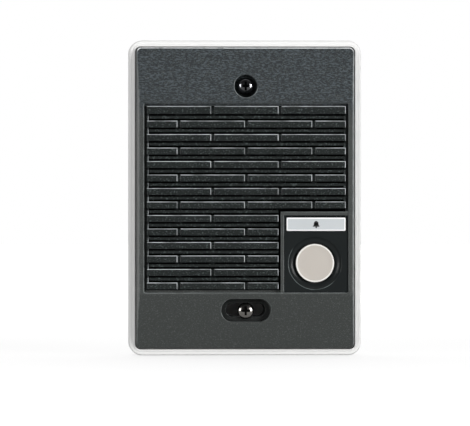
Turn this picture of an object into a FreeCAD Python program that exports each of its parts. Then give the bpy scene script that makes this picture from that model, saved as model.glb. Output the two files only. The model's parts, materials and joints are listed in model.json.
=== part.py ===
import FreeCAD, Part
import math
import os

# Intercom room station, surface mounted on a wall box. Millimetres, +Z up, +X to the right.
# The back face lies in the plane Y = 0 with its centre at the origin, and the front faces -Y.
# A depth is a distance in front of the wall, so a point at depth d has Y = -d.

# Overall sizes
body_width = 86.4
body_height = 117.2
total_depth = 28.0
rim_depth = 16.5
cover_width = 81.4
cover_height = 112.2

# Back base
base_corner_radius = 4.8
base_floor = 2.5
base_front_edge_radius = 0.8
base_back_edge_radius = 0.5
lip_width = 0.85
lip_rise = 0.5
lip_edge_radius = 0.25
ledge_width = 1.6
ledge_depth = 13.0
cover_gap = 0.15

# Front cover
cover_corner_radius = 1.8
cover_wall = 2.0
cover_draft = 0.9
end_rise = 1.8
fold_height = 35.8
cover_edge_radius = 0.6
seal_thickness = 0.8
opening_width = 75.8
opening_height = 70.2
opening_corner_radius = 0.5
opening_edge_radius = 0.35
least_corner_radius = 0.3
skin_inset = 0.05

# Louvres
louvre_back_depth = 23.4
groove_depth = 24.6
band_depth = 26.6
bar_depth = 27.6
groove_width = 1.0
row_count = 14
row_pitch = 5.0
bar_height = 2.55
first_row_extra = 0.4
field_top = 34.1
bar_gap = 1.1
gap_pitch = 25.0
bar_edge_radius = 0.45
end_rib_width = 0.6
slot_height = 0.55
slot_rib = 2.3
stake_places = ((-34.0, 31.0), (34.0, 31.0), (34.0, -1.0), (-34.0, -28.0), (8.0, -31.0))
stake_radius = 1.0
stake_head_radius = 1.7
stake_head = 0.6
stake_gap = 0.1

# Button frame and panel
full_rows = 8
frame_left = 12.8
frame_top = -5.05
frame_border_left = 1.2
frame_border_top = 1.35
frame_edge_radius = 0.3
frame_inner_radius = 0.25
panel_depth = 27.2
panel_thickness = 1.6
panel_gap = 0.2
panel_corner_radius = 0.4
label_width = 21.9
label_height = 4.95
label_thickness = 0.5
label_recess = 0.35
label_gap = 0.15
label_edge_radius = 0.2
label_z = -9.7

# Call button
button_x = 25.5
button_z = -24.1
button_radius = 7.1
button_gap = 0.5
button_proud = 0.7
button_wall = 1.6
button_edge_radius = 0.8
button_travel = 1.8
stem_gap = 0.1
dish_radius = 9.95
dish_drop = 1.2
dish_arc_drop = 0.95
dish_edge_radius = 0.2
collar_radius = 8.1
collar_length = 1.5
collar_gap = 0.1
guide_gap = 0.3
guide_wall = 1.3
guide_back_depth = 17.5
stem_radius = 1.8
spring_outer_radius = 4.0
spring_wire = 0.5
spring_turns = 6

# Call switch
switch_side = 10.0
switch_height = 4.9
switch_wall = 1.0
switch_floor = 0.4
switch_well_gap = 0.7
plunger_radius = 1.6
plunger_spare = 0.8
plunger_edge_radius = 0.3
plunger_flange_radius = 2.1
plunger_flange = 0.8
plunger_flange_gap = 0.1
plunger_fit = 0.08
pin_side = 0.6
pin_pitch = 6.5
pin_tail = 1.2

# Circuit board
board_front_depth = 11.1
board_thickness = 1.6
board_half_width = 37.0
board_top = -11.0
board_bottom = -36.0
board_screw_x = 34.6
board_screw_upper_z = -13.6
board_screw_lower_z = -33.4
board_boss_radius = 2.2
board_screw_radius = 1.0
board_screw_length = 7.0
board_hole_gap = 0.2
board_corner_radius = 1.5
small_screw_head_radius = 2.0
small_screw_head = 1.4

# Terminal block on the back of the board
terminal_count = 3
terminal_pitch = 8.0
terminal_x = -19.0
terminal_z = -25.5
terminal_height = 10.0
terminal_front = 6.6
terminal_barrier = 1.2
terminal_barrier_rise = 2.0
terminal_screw_radius = 2.4
terminal_screw_head = 1.5
terminal_screw_length = 2.8
terminal_clamp_side = 6.0
terminal_clamp_thickness = 0.8
window_gap = 1.0

# Speaker
speaker_x = -6.0
speaker_z = 9.5
speaker_radius = 25.0
aperture_radius = 21.0
screen_thickness = 0.3
gasket_thickness = 1.0
gasket_width = 2.6
sheet_thickness = 0.8
basket_mouth_radius = 22.0
basket_foot_radius = 14.0
basket_depth = 9.0
basket_windows = 4
basket_window_margin = 1.5
basket_bore_radius = 6.4
magnet_radius = 14.5
magnet_bore_radius = 7.5
magnet_thickness = 5.0
plate_thickness = 1.2
plate_edge_radius = 0.4
pole_radius = 4.7
coil_radius = 5.4
coil_wall = 0.35
coil_air_gap = 0.3
coil_length = 7.5
cone_outer_radius = 18.6
cone_foot_radius = 5.8
cone_rise = 6.0
cone_wall = 0.4
surround_gap = 0.05
surround_width = 2.8
surround_wall = 0.3
surround_lap = 0.6
dust_cap_radius = 6.2
dust_cap_rise = 1.8
clip_radius = 28.3
clip_angles = (22.0, 155.0, 262.0)
clip_boss_radius = 2.3
clip_length = 8.0
clip_reach = 3.0
clip_corner_radius = 1.0
clip_width = 6.0
clip_thickness = 1.0
clip_screw_length = 3.2
strip_angle = 302.0
strip_length = 9.0
strip_width = 3.0
strip_thickness = 1.2
lug_pitch = 5.0
lug_radius = 0.9
lug_height = 1.0
lead_radius = 0.6
lead_drop = 2.6
lead_bend = 5.0
lead_lift = 3.4
lead_pads = ((3.2, -13.6), (8.6, -13.2))

# Parts on the front of the board
transformer_x = 2.0
transformer_z = -25.0
core_length = 14.0
core_height = 11.0
core_stack = 5.0
core_leg = 2.2
core_centre_leg = 4.0
bobbin_length = 11.0
bobbin_base = 0.6
bobbin_wall = 0.5
bobbin_fit = 0.05
winding_corner_radius = 0.6
winding_gap = 0.3
capacitor_places = ((-15.5, -29.5), (-23.5, -29.5))
capacitor_radius = 3.15
capacitor_height = 11.0
capacitor_groove = 0.3
capacitor_groove_low = 1.4
capacitor_groove_high = 2.0
capacitor_edge_radius = 0.5
film_x = -27.0
film_z = -19.0
film_length = 7.2
film_width = 2.6
film_height = 6.0
film_edge_radius = 0.5
resistor_places = ((11.8, -26.0), (15.0, -26.0), (18.2, -26.0))
resistor_radius = 1.15
resistor_length = 6.3
diode_places = ((-33.0, -23.5), (-18.5, -16.2))
diode_radius = 0.95
diode_length = 4.2
component_wire = 0.3
component_wire_reach = 1.6
component_bend = 0.7
component_lift = 0.3
component_tail = 1.0
component_edge_share = 0.4

# Self-tapping screws that hold the cover, driven from the back
cover_screw_x = 33.5
cover_screw_z = 48.5
cover_screw_radius = 1.5
cover_screw_length = 12.0
cover_screw_head_radius = 2.8
cover_screw_head = 2.0
cover_screw_head_gap = 0.3
cover_screw_gap = 0.1
cover_screw_seat_depth = 4.0
cover_post_radius = 4.5
cover_post_depth = 9.0
cover_boss_radius = 3.0

# Mounting screws, one through a round hole and one through a slot, on the pitch of a single wall box
mounting_pitch = 83.5
well_z = 41.6
well_radius = 4.3
well_wall = 1.8
well_floor = 2.0
well_edge_radius = 0.3
seat_depth = 20.0
slot_well_length = 18.4
slot_inner_length = 14.7
slot_inner_height = 5.0
slot_edge_radius = 0.25
mounting_screw_radius = 1.75
mounting_shank_radius = 1.5
mounting_hole_gap = 0.35
mounting_screw_head_radius = 3.0
mounting_screw_head = 2.4
mounting_screw_reach = 12.0
post_wall = 2.2
recess_width = 0.8
recess_length = 3.3
recess_drop = 1.3
head_round_share = 0.45
tip_chamfer_share = 0.3

# How far a cutting tool runs past the face it opens
overcut = 1.0

FORWARD = FreeCAD.Vector(0, -1, 0)


def at(x, depth, z):
    return FreeCAD.Vector(x, -depth, z)


def forward(distance):
    return FORWARD * distance


def block(x0, x1, d0, d1, z0, z1):
    return Part.makeBox(x1 - x0, d1 - d0, z1 - z0, FreeCAD.Vector(x0, -d1, z0))


def disc(x, z, radius, d0, d1):
    return Part.makeCylinder(radius, d1 - d0, at(x, d0, z), FORWARD)


def ring(x, z, outer, inner, d0, d1):
    return disc(x, z, outer, d0, d1).cut(disc(x, z, inner, d0 - overcut, d1 + overcut))


def outline(width, height, radius, depth, x=0.0, z=0.0):
    """A rounded rectangle round (x, z), in the plane at this depth."""
    right, top = width / 2, height / 2
    edges = []
    corners = ((1, 1), (-1, 1), (-1, -1), (1, -1))
    for i, (sx, sz) in enumerate(corners):
        cx, cz = x + sx * (right - radius), z + sz * (top - radius)
        start = math.atan2(sz, sx) - math.pi / 4
        arc = [at(cx + radius * math.cos(a), depth, cz + radius * math.sin(a))
               for a in (start, start + math.pi / 4, start + math.pi / 2)]
        edges.append(Part.Arc(*arc).toShape())
        nx, nz = corners[(i + 1) % 4]
        nx, nz = x + nx * (right - radius), z + nz * (top - radius)
        angle = start + math.pi / 2
        reach = at(nx + radius * math.cos(angle), depth, nz + radius * math.sin(angle))
        if arc[2].distanceToPoint(reach) > 1e-6:
            edges.append(Part.LineSegment(arc[2], reach).toShape())
    return Part.Wire(Part.__sortEdges__(edges))


def slab(width, height, radius, d0, d1, x=0.0, z=0.0):
    return Part.Face(outline(width, height, radius, d0, x, z)).extrude(forward(d1 - d0))


def obround(x, z, length, height, d0, d1):
    return slab(length, height, height / 2, d0, d1, x, z)


def turned(x, z, profile):
    """A solid of revolution about the line along Y through (x, z), from (radius, depth) points."""
    points = [at(x + r, d, z) for r, d in profile]
    face = Part.Face(Part.makePolygon(points + points[:1]))
    return face.revolve(at(x, 0, z), FORWARD, 360)


def joined(shapes):
    result = shapes[0].fuse(shapes[1:]) if len(shapes) > 1 else shapes[0]
    return result.removeSplitter()


def less(shape, tools):
    return shape.cut(tools).removeSplitter() if tools else shape


def edges_where(shape, test):
    return [e for e in shape.Edges if test(e)]


def depth_range(edge):
    box = edge.BoundBox
    return -box.YMax, -box.YMin


def lies_at(depth):
    def test(edge):
        near, far = depth_range(edge)
        return abs(near - depth) < 1e-4 and abs(far - depth) < 1e-4
    return test


def runs_forward(edge):
    near, far = depth_range(edge)
    return far - near > edge.Length / 2


def rounded(shape, radius, test):
    return shape.makeFillet(radius, edges_where(shape, test))


def sweep(points, radius, bend):
    """A round wire along straight runs joined by tangent arcs that start up to bend from each corner."""
    edges = []
    here = points[0]
    for before, corner, after in zip(points, points[1:], points[2:]):
        inward = (before - corner).normalize()
        outward = (after - corner).normalize()
        half_turn = (math.pi - inward.getAngle(outward)) / 2
        trim = min(bend, 0.45 * before.distanceToPoint(corner), 0.45 * after.distanceToPoint(corner))
        arc_radius = trim / math.tan(half_turn)
        bisector = (inward + outward).normalize()
        middle = corner + bisector * (arc_radius / math.cos(half_turn) - arc_radius)
        edges.append(Part.LineSegment(here, corner + inward * trim).toShape())
        edges.append(Part.Arc(corner + inward * trim, middle, corner + outward * trim).toShape())
        here = corner + outward * trim
    edges.append(Part.LineSegment(here, points[-1]).toShape())
    path = Part.Wire(edges)
    start = Part.Wire(Part.Circle(points[0], points[1] - points[0], radius).toShape())
    return path.makePipeShell([start], True, False), path.Length


# Sizes that follow from the ones above
cover_end_depth = rim_depth + end_rise
slope = (total_depth - cover_end_depth) / (cover_height / 2 - fold_height)
cavity_width = cover_width + 2 * cover_gap
cavity_height = cover_height + 2 * cover_gap
cover_back_depth = ledge_depth + seal_thickness
field_half_width = opening_width / 2 - groove_width
opening_bottom = -opening_height / 2
opening_right = opening_width / 2
panel_floor_depth = panel_depth - panel_thickness
panel_left = frame_left + frame_border_left
panel_top = frame_top - frame_border_top
panel_mid_x = (panel_left + opening_right) / 2
panel_mid_z = (panel_top + opening_bottom) / 2
panel_width = opening_right - panel_left - 2 * panel_gap
panel_height = panel_top - opening_bottom - 2 * panel_gap
hole_radius = button_radius + button_gap
lip_back_depth = panel_floor_depth - panel_thickness + dish_drop
guide_bore = collar_radius + guide_gap
guide_radius = guide_bore + guide_wall
button_front = panel_depth + button_proud
button_roof = button_front - button_wall
collar_front = lip_back_depth - collar_gap
switch_top = board_front_depth + switch_height
plunger_top = switch_top + button_travel + plunger_spare
board_back_depth = board_front_depth - board_thickness
well_back_depth = seat_depth - well_floor
slot_height_outer = 2 * well_radius
screw_lower_z = well_z - mounting_pitch
post_radius = mounting_screw_radius + mounting_hole_gap + post_wall
screen_back = louvre_back_depth - screen_thickness
gasket_back = screen_back - gasket_thickness
flange_back = gasket_back - sheet_thickness
basket_foot_depth = flange_back - basket_depth
top_plate_back = basket_foot_depth - sheet_thickness - plate_thickness
magnet_back = top_plate_back - magnet_thickness
yoke_back = magnet_back - plate_thickness
cone_front = gasket_back
cone_foot_depth = cone_front - cone_rise
cone_slope = cone_rise / (cone_outer_radius - cone_foot_radius)
plunger_foot = switch_top - switch_wall - plunger_flange_gap - plunger_flange
terminal_seat = terminal_front - terminal_clamp_thickness
beyond = total_depth + overcut


def slope_depth(z, inset=0.0):
    """Depth of the sloping end plates at this height, set back square to the slope by inset."""
    drop = inset * math.sqrt(1 + slope * slope)
    return total_depth - slope * (abs(z) - fold_height) - drop


def cover_form(inset, front_depth, back_depth):
    """The cover's outer form, or with an inset the form of its inside."""
    width, height = cover_width - 2 * inset, cover_height - 2 * inset
    radius = max(cover_corner_radius - inset, least_corner_radius)
    skirt = slab(width, height, radius, back_depth, rim_depth)
    taper = cover_draft * (front_depth - rim_depth) / (total_depth - rim_depth)
    foot = outline(width, height, radius, rim_depth)
    head = outline(width - 2 * taper, height - 2 * taper, radius, front_depth)
    form = skirt.fuse(Part.makeLoft([foot, head], True, True)).removeSplitter()
    reach = cover_height / 2 + overcut
    for side in (1, -1):
        start = fold_height - (beyond - slope_depth(fold_height, inset)) / slope
        wedge = [(start, beyond), (reach, slope_depth(reach, inset)), (reach, beyond)]
        points = [at(-cover_width, d, side * z) for z, d in wedge]
        face = Part.Face(Part.makePolygon(points + points[:1]))
        form = form.cut(face.extrude(FreeCAD.Vector(2 * cover_width, 0, 0)))
    return form


def row_span(row):
    """Lowest and highest Z of a row of bars."""
    top = field_top - first_row_extra - row * row_pitch
    return top - bar_height, top + (first_row_extra if row == 0 else 0)


def row_right(row):
    return field_half_width if row < full_rows else gap_pitch / 2 - bar_gap / 2


def row_bars(row):
    """Left and right ends of each bar in a row: the gaps of odd and even rows lie half a pitch apart."""
    offset = gap_pitch / 2 if row % 2 == 0 else 0.0
    right = row_right(row)
    gaps = [offset + i * gap_pitch for i in range(-2, 2)]
    inner = [x for x in gaps if -field_half_width < x < right - bar_gap]
    starts = [-field_half_width] + [x + bar_gap / 2 for x in inner]
    ends = [x - bar_gap / 2 for x in inner] + [right]
    return list(zip(starts, ends))


def louvre_bar(x0, x1, z0, z1):
    bar = block(x0, x1, groove_depth, bar_depth, z0, z1)
    return rounded(bar, bar_edge_radius, lies_at(bar_depth))


def louvre_slots():
    """Sound slots under the bars, in stretches between short ribs."""
    cuts = []
    step = gap_pitch / 2
    for row in range(row_count):
        bottom = row_span(row)[0]
        right = row_right(row)
        for column in range(-3, 3):
            x0 = max(column * step + slot_rib / 2, -field_half_width + end_rib_width)
            x1 = min((column + 1) * step - slot_rib / 2, right - end_rib_width)
            if x1 - x0 > slot_rib:
                cuts.append(block(x0, x1, groove_depth - overcut, beyond, bottom - slot_height, bottom))
    return cuts


def end_rib(x0, x1, row, lit_side):
    """The low wall that closes the band under a row at its end."""
    bottom, top = row_span(row + 1)[1], row_span(row)[0]
    rib = block(x0, x1, groove_depth, bar_depth - bar_edge_radius, bottom, top)
    edge = x1 if lit_side > 0 else x0
    return rounded(rib, end_rib_width / 2, lambda e: lies_at(bar_depth - bar_edge_radius)(e)
                   and abs(e.BoundBox.XMin - edge) < 0.01 and abs(e.BoundBox.XMax - edge) < 0.01)


def louvre_grille():
    """The raised bars on their band, the ribs that close the bands at each side, and the stakes behind."""
    upper_bottom = frame_top + groove_width
    left, right = -field_half_width, field_half_width
    lower_right = row_right(row_count - 1)
    solids = [
        block(left, right, groove_depth, band_depth, upper_bottom, field_top),
        block(left, lower_right, groove_depth, band_depth, -field_top, upper_bottom),
    ]
    for row in range(row_count):
        z0, z1 = row_span(row)
        solids += [louvre_bar(x0, x1, z0, z1) for x0, x1 in row_bars(row)]
    for row in range(row_count - 1):
        solids.append(end_rib(left, left + end_rib_width, row, 1))
        if row + 1 < full_rows:
            solids.append(end_rib(right - end_rib_width, right, row, -1))
    grille = less(joined(solids), louvre_slots())
    stakes = []
    for x, z in stake_places:
        stakes.append(disc(x, z, stake_radius, louvre_back_depth - stake_head, groove_depth))
        stakes.append(disc(x, z, stake_head_radius, louvre_back_depth - stake_head, louvre_back_depth))
    return joined([grille] + stakes)


def button_frame():
    frame = block(frame_left, opening_right, louvre_back_depth, bar_depth, opening_bottom, frame_top)
    frame = rounded(frame, frame_edge_radius, lambda e: lies_at(bar_depth)(e)
                    and (e.BoundBox.XMax < frame_left + 0.01 or e.BoundBox.ZMin > frame_top - 0.01))
    pocket = block(panel_left, opening_right + overcut, panel_floor_depth, beyond,
                   opening_bottom - overcut, panel_top)
    return rounded(frame.cut(pocket), frame_inner_radius, lambda e: lies_at(bar_depth)(e)
                   and abs(e.BoundBox.XMin - panel_left) < 0.01 and abs(e.BoundBox.XMax - panel_left) < 0.01)


def corners(x, z):
    return [(sx * x, sz * z) for sx in (1, -1) for sz in (1, -1)]


def board_screw_places():
    return [(sx * board_screw_x, z) for sx in (1, -1) for z in (board_screw_upper_z, board_screw_lower_z)]


def clip_places():
    places = []
    for angle in clip_angles:
        a = math.radians(angle)
        places.append((speaker_x + clip_radius * math.cos(a), speaker_z + clip_radius * math.sin(a), angle))
    return places


def is_well_edge(edge):
    box = edge.BoundBox
    high = abs(abs(box.Center.z) - well_z) < well_radius + 0.01
    return (high and depth_range(edge)[0] > seat_depth + 0.1
            and max(abs(box.XMin), abs(box.XMax)) < slot_well_length / 2 + 0.01)


def is_slot_edge(edge):
    """An edge round the slot in the lower well's floor."""
    reach = slot_inner_height / 2 + 0.01
    box = edge.BoundBox
    return lies_at(seat_depth)(edge) and abs(box.ZMin + well_z) < reach and abs(box.ZMax + well_z) < reach


def front_cover():
    outer = cover_form(0.0, total_depth, cover_back_depth)
    inner = cover_form(cover_wall, louvre_back_depth, cover_back_depth - overcut)
    body = rounded(outer, cover_edge_radius, lambda e: depth_range(e)[1] > cover_end_depth - 0.3
                   and depth_range(e)[0] > rim_depth + 0.1)
    solids = [body.cut(inner)]
    inside = [disc(0, well_z, well_radius + well_wall, well_back_depth, beyond)]
    inside.append(obround(0, -well_z, slot_well_length + 2 * well_wall,
                          slot_height_outer + 2 * well_wall, well_back_depth, beyond))
    inside.append(obround(0, -well_z, slot_inner_length + 2 * post_wall,
                          slot_inner_height + 2 * post_wall, base_floor, beyond))
    for x, z in corners(cover_screw_x, cover_screw_z):
        inside.append(disc(x, z, cover_boss_radius, cover_post_depth, beyond))
    for x, z in board_screw_places():
        inside.append(disc(x, z, board_boss_radius, board_front_depth, beyond))
    for x, z, _ in clip_places():
        inside.append(disc(x, z, clip_boss_radius, flange_back, beyond))
    deep = cover_form(skin_inset, total_depth, 0)
    solids += [piece.common(deep) for piece in inside]
    shell = joined(solids)
    wells = [disc(0, well_z, well_radius, seat_depth, beyond)]
    wells.append(obround(0, -well_z, slot_well_length, slot_height_outer, seat_depth, beyond))
    wells.append(obround(0, -well_z, slot_inner_length, slot_inner_height, base_floor - overcut, beyond))
    shell = rounded(shell.cut(wells), well_edge_radius, is_well_edge)
    shell = rounded(shell, slot_edge_radius, is_slot_edge)
    recess = slab(opening_width, opening_height, opening_corner_radius, groove_depth, beyond)
    shell = shell.cut(recess)
    shell = rounded(shell, opening_edge_radius, lambda e: lies_at(total_depth)(e)
                    and e.BoundBox.XMax < opening_right + 0.01 and e.BoundBox.XMin > -opening_right - 0.01
                    and e.BoundBox.ZMax < opening_height / 2 + 0.01
                    and e.BoundBox.ZMin > opening_bottom - 0.01)
    cuts = [disc(speaker_x, speaker_z, aperture_radius, louvre_back_depth - overcut, beyond)]
    cuts += [disc(x, z, stake_radius + stake_gap, louvre_back_depth - overcut, beyond)
             for x, z in stake_places]
    low = well_back_depth - overcut
    cuts.append(disc(0, well_z, mounting_screw_radius + mounting_hole_gap, low, beyond))
    cuts.append(disc(button_x, button_z, guide_radius + panel_gap, guide_back_depth, panel_depth))
    for x, z in corners(cover_screw_x, cover_screw_z):
        tip = cover_screw_seat_depth + cover_screw_length
        cuts.append(disc(x, z, cover_screw_radius, cover_post_depth - overcut, tip))
    for x, z in board_screw_places():
        cuts.append(disc(x, z, board_screw_radius, board_front_depth - overcut,
                         board_back_depth + board_screw_length))
    for x, z, _ in clip_places():
        cuts.append(disc(x, z, board_screw_radius, flange_back - overcut,
                         flange_back - clip_thickness + clip_screw_length))
    return less(joined([shell, button_frame()]), cuts)


def back_base():
    wall = slab(body_width, body_height, base_corner_radius, 0, rim_depth)
    wall = rounded(wall, base_front_edge_radius, lies_at(rim_depth))
    wall = rounded(wall, base_back_edge_radius, lies_at(0))
    lip_radius = cover_corner_radius + cover_gap + lip_width
    lip = slab(cavity_width + 2 * lip_width, cavity_height + 2 * lip_width, lip_radius,
               rim_depth - overcut, rim_depth + lip_rise)
    lip = rounded(lip, lip_edge_radius, lies_at(rim_depth + lip_rise))
    mouth = slab(cavity_width, cavity_height, cover_corner_radius + cover_gap, ledge_depth, total_depth)
    pit = slab(cavity_width - 2 * ledge_width, cavity_height - 2 * ledge_width,
               cover_corner_radius, base_floor, total_depth)
    tray = less(joined([wall, lip]), [mouth, pit])
    solids = [tray]
    for x, z in corners(cover_screw_x, cover_screw_z):
        solids.append(disc(x, z, cover_post_radius, base_floor / 2, cover_post_depth))
    solids.append(disc(0, well_z, post_radius, base_floor / 2, well_back_depth))
    cuts = [disc(0, z, mounting_screw_radius + mounting_hole_gap, -overcut, total_depth)
            for z in (well_z, screw_lower_z)]
    for x, z in corners(cover_screw_x, cover_screw_z):
        cuts.append(disc(x, z, cover_screw_head_radius + cover_screw_head_gap, -overcut,
                         cover_screw_seat_depth))
        cuts.append(disc(x, z, cover_screw_radius + cover_screw_gap, -overcut, total_depth))
    width = terminal_count * terminal_pitch + terminal_barrier
    cuts.append(slab(width + 2 * window_gap, terminal_height + 2 * window_gap, window_gap,
                     -overcut, base_floor + overcut, terminal_x, terminal_z))
    return less(joined(solids), cuts)


def cover_seal():
    outer = slab(cover_width, cover_height, cover_corner_radius, ledge_depth, cover_back_depth)
    inset = ledge_width - cover_gap
    inner = slab(cover_width - 2 * inset, cover_height - 2 * inset, cover_corner_radius,
                 ledge_depth - overcut, total_depth)
    return outer.cut(inner)


def is_dish_edge(edge):
    return (lies_at(panel_depth)(edge) and isinstance(edge.Curve, Part.Circle)
            and abs(edge.Curve.Radius - dish_radius) < 0.01)


def button_panel():
    plate = slab(panel_width, panel_height, panel_corner_radius, panel_floor_depth, panel_depth,
                 panel_mid_x, panel_mid_z)
    tube = disc(button_x, button_z, guide_radius, guide_back_depth, panel_floor_depth)
    start = at(button_x + dish_radius, panel_depth, button_z)
    end = at(button_x + hole_radius, panel_depth - dish_drop, button_z)
    middle = at(button_x + (dish_radius + hole_radius) / 2, panel_depth - dish_arc_drop, button_z)
    above = at(button_x, beyond, button_z)
    curve = Part.Arc(start, middle, end).toShape()
    rest = Part.makePolygon([end, at(button_x, panel_depth - dish_drop, button_z), above,
                             at(button_x + dish_radius, beyond, button_z), start])
    face = Part.Face(Part.Wire([curve] + rest.Edges))
    dish = face.revolve(at(button_x, 0, button_z), FORWARD, 360)
    label_pocket = slab(label_width + 2 * label_gap, label_height + 2 * label_gap, panel_corner_radius,
                        panel_depth - label_recess, beyond, panel_mid_x, label_z)
    low = guide_back_depth - overcut
    cuts = [dish, label_pocket, disc(button_x, button_z, hole_radius, low, beyond)]
    cuts.append(disc(button_x, button_z, guide_bore, low, lip_back_depth))
    return rounded(less(joined([plate, tube]), cuts), dish_edge_radius, is_dish_edge)


def name_label():
    plate = slab(label_width, label_height, panel_corner_radius, panel_depth - label_recess,
                 panel_depth - label_recess + label_thickness, panel_mid_x, label_z)
    return rounded(plate, label_edge_radius, lies_at(panel_depth - label_recess + label_thickness))


def call_button():
    cap = disc(button_x, button_z, button_radius, collar_front - collar_length, button_front)
    cap = rounded(cap, button_edge_radius, lies_at(button_front))
    collar = disc(button_x, button_z, collar_radius, collar_front - collar_length, collar_front)
    hollow = disc(button_x, button_z, button_radius - button_wall, 0, button_roof)
    stem = disc(button_x, button_z, stem_radius, plunger_top + stem_gap, button_roof + button_wall / 2)
    return joined([joined([cap, collar]).cut(hollow), stem])


def button_spring():
    """A compression spring round the stem, from the switch's top to the inside of the cap."""
    low, high = switch_top + spring_wire / 2, button_roof - spring_wire / 2
    radius = spring_outer_radius - spring_wire / 2
    rise_per_radian = (high - low) / (spring_turns * 2 * math.pi)

    def on_coil(angle):
        return at(button_x + radius * math.cos(angle), low + rise_per_radian * angle,
                  button_z + radius * math.sin(angle))

    quarter = math.pi / 2
    arcs = [Part.Arc(on_coil(i * quarter), on_coil((i + 0.5) * quarter), on_coil((i + 1) * quarter))
            for i in range(spring_turns * 4)]
    path = Part.Wire([arc.toShape() for arc in arcs])
    start = Part.Circle(on_coil(0), arcs[0].tangent(arcs[0].FirstParameter)[0], spring_wire / 2)
    return path.makePipeShell([Part.Wire(start.toShape())], True, False)


def switch_body():
    half = switch_side / 2
    body = block(button_x - half, button_x + half, board_front_depth, switch_top,
                 button_z - half, button_z + half)
    floor = board_front_depth + switch_floor
    well = disc(button_x, button_z, plunger_radius + switch_well_gap, floor, switch_top - switch_wall)
    bore = disc(button_x, button_z, plunger_radius + plunger_fit, floor, beyond)
    return less(body, [well, bore])


def switch_plunger():
    """The pin under the button's stem, held in the case by the flange at its foot."""
    shaft = disc(button_x, button_z, plunger_radius, plunger_foot, plunger_top)
    shaft = rounded(shaft, plunger_edge_radius, lies_at(plunger_top))
    flange = disc(button_x, button_z, plunger_flange_radius, plunger_foot, plunger_foot + plunger_flange)
    return joined([shaft, flange])


def switch_pins():
    tails = []
    for sx, sz in corners(pin_pitch / 2, pin_pitch / 2):
        x, z = button_x + sx, button_z + sz
        tails.append(disc(x, z, pin_side / 2, board_back_depth - pin_tail, board_front_depth))
    return Part.makeCompound(tails)


def board_holes():
    holes = [disc(x, z, board_screw_radius + board_hole_gap, 0, total_depth)
             for x, z in board_screw_places()]
    for sx, sz in corners(pin_pitch / 2, pin_pitch / 2):
        holes.append(disc(button_x + sx, button_z + sz, pin_side / 2, 0, total_depth))
    for places, length in ((resistor_places, resistor_length), (diode_places, diode_length)):
        reach = length / 2 + component_wire_reach - component_wire
        for x, z in places:
            holes += [disc(x, z + side * reach, component_wire, 0, total_depth) for side in (-1, 1)]
    return holes


def circuit_board():
    board = block(-board_half_width, board_half_width, board_back_depth, board_front_depth,
                  board_bottom, board_top)
    board = rounded(board, board_corner_radius, runs_forward)
    return less(board, board_holes())


def terminal_places():
    first = terminal_x - (terminal_count - 1) * terminal_pitch / 2
    return [first + i * terminal_pitch for i in range(terminal_count)]


def terminal_block():
    half = (terminal_count * terminal_pitch + terminal_barrier) / 2
    low, high = terminal_z - terminal_height / 2, terminal_z + terminal_height / 2
    base_back = terminal_front - terminal_barrier_rise
    solids = [block(terminal_x - half, terminal_x + half, terminal_front, board_back_depth, low, high)]
    for i in range(terminal_count + 1):
        x = terminal_x - half + i * terminal_pitch
        solids.append(block(x, x + terminal_barrier, base_back, terminal_front + overcut, low, high))
    tip = terminal_seat + terminal_screw_length
    holes = [disc(x, terminal_z, board_screw_radius, 0, tip) for x in terminal_places()]
    return less(joined(solids), holes)


def pan_screw(x, z, seat, head_radius, head, radius, length, direction):
    """A pan-head screw with a crossed recess. Its head stands towards direction from the seat."""
    head_end = seat + direction * head
    shank_end = seat - direction * length
    top = disc(x, z, head_radius, min(seat, head_end), max(seat, head_end))
    top = rounded(top, head * head_round_share, lies_at(head_end))
    shank = disc(x, z, radius, min(seat, shank_end), max(seat, shank_end))
    shank = shank.makeChamfer(radius * tip_chamfer_share, edges_where(shank, lies_at(shank_end)))
    reach = recess_length * head_radius / mounting_screw_head_radius / 2
    half = recess_width * head_radius / mounting_screw_head_radius / 2
    drop = recess_drop * head / mounting_screw_head
    d0, d1 = sorted((head_end - direction * drop, head_end + direction * overcut))
    cross = [block(x - reach, x + reach, d0, d1, z - half, z + half),
             block(x - half, x + half, d0, d1, z - reach, z + reach)]
    return less(joined([top, shank]), cross)


def terminal_screws():
    return Part.makeCompound([
        pan_screw(x, terminal_z, terminal_seat, terminal_screw_radius, terminal_screw_head,
                  board_screw_radius, terminal_screw_length, -1) for x in terminal_places()])


def terminal_clamps():
    half = terminal_clamp_side / 2
    clamps = []
    for x in terminal_places():
        clamp = block(x - half, x + half, terminal_seat, terminal_front,
                      terminal_z - half, terminal_z + half)
        clamps.append(clamp.cut(disc(x, terminal_z, board_screw_radius, 0, total_depth)))
    return Part.makeCompound(clamps)


def dust_screen():
    return disc(speaker_x, speaker_z, speaker_radius, screen_back, louvre_back_depth)


def speaker_gasket():
    return ring(speaker_x, speaker_z, speaker_radius, speaker_radius - gasket_width,
                gasket_back, screen_back)


def speaker_frame():
    """The pressed basket: flange, sloping wall with windows, and the flat foot that the magnet joins."""
    profile = [
        (speaker_radius, gasket_back), (basket_mouth_radius, gasket_back),
        (basket_foot_radius, basket_foot_depth), (basket_bore_radius, basket_foot_depth),
        (basket_bore_radius, basket_foot_depth - sheet_thickness),
        (basket_foot_radius + sheet_thickness / 2, basket_foot_depth - sheet_thickness),
        (basket_mouth_radius + sheet_thickness / 2, flange_back), (speaker_radius, flange_back),
    ]
    frame = turned(speaker_x, speaker_z, profile)
    half = basket_mouth_radius - basket_foot_radius
    low, high = basket_foot_depth + basket_window_margin, flange_back - basket_window_margin
    windows = []
    for i in range(basket_windows):
        cut = block(speaker_x + basket_foot_radius - overcut, speaker_x + speaker_radius, low, high,
                    speaker_z - half, speaker_z + half)
        cut.rotate(at(speaker_x, 0, speaker_z), FORWARD, 45 + i * 360 / basket_windows)
        windows.append(cut)
    return less(frame, windows)


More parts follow.
